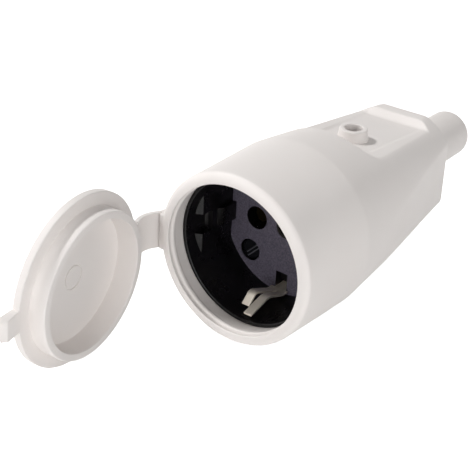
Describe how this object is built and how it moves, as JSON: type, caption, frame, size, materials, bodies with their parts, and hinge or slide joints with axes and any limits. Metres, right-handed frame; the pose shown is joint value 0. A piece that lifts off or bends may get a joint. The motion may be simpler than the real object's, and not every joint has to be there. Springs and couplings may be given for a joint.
{
  "type": "earthed cord socket with hinged lid",
  "caption": "Soft white in-line power socket for a cord, with a black round recess, side earth contacts, a screwed housing with a cord neck and a hinged cover lid.",
  "frame": {"origin": "centre of the mouth's front rim", "axes": "+Y from the mouth into the body towards the cord neck, +Z towards the fixing screw's boss, +X right when looking into the mouth; the lid hangs on the -X side"},
  "size_m": [0.0517, 0.1751, 0.0483],
  "materials": {
    "white_soft_plastic": "satin soft moulding",
    "black_thermoplastic": "semi-gloss moulding",
    "brass": "stamped",
    "nickel": "nickel plated, dull",
    "zinc_steel": "zinc plated"
  },
  "bodies": {
    "body": {"housing": "white_soft_plastic", "socket_front": "black_thermoplastic", "contact_carrier": "black_thermoplastic", "pin_contact_left": "brass", "pin_contact_right": "brass", "terminal_screw_left": "zinc_steel", "terminal_screw_right": "zinc_steel", "earth_strip": "brass", "earth_clip_lower": "nickel", "earth_clip_upper": "nickel", "earth_terminal": "brass", "earth_terminal_screw": "zinc_steel", "bridge_rivet": "nickel", "assembly_screw_left": "zinc_steel", "assembly_screw_right": "zinc_steel", "fixing_screw": "zinc_steel", "fixing_nut": "zinc_steel", "cord_clamp": "zinc_steel", "clamp_screw_left": "zinc_steel", "clamp_screw_right": "zinc_steel", "hinge_strap": "white_soft_plastic"},
    "lid": {"lid": "white_soft_plastic"}
  },
  "joints": [
    {"name": "lid_hinge", "type": "hinge", "parent": "body", "child": "lid", "pos_m": [-0.028, -0.0036, 0], "axis": [0.0285, -0.0321, 0.9991], "range_deg": [-70, 83.2], "deforming": ["hinge_strap"]}
  ]
}
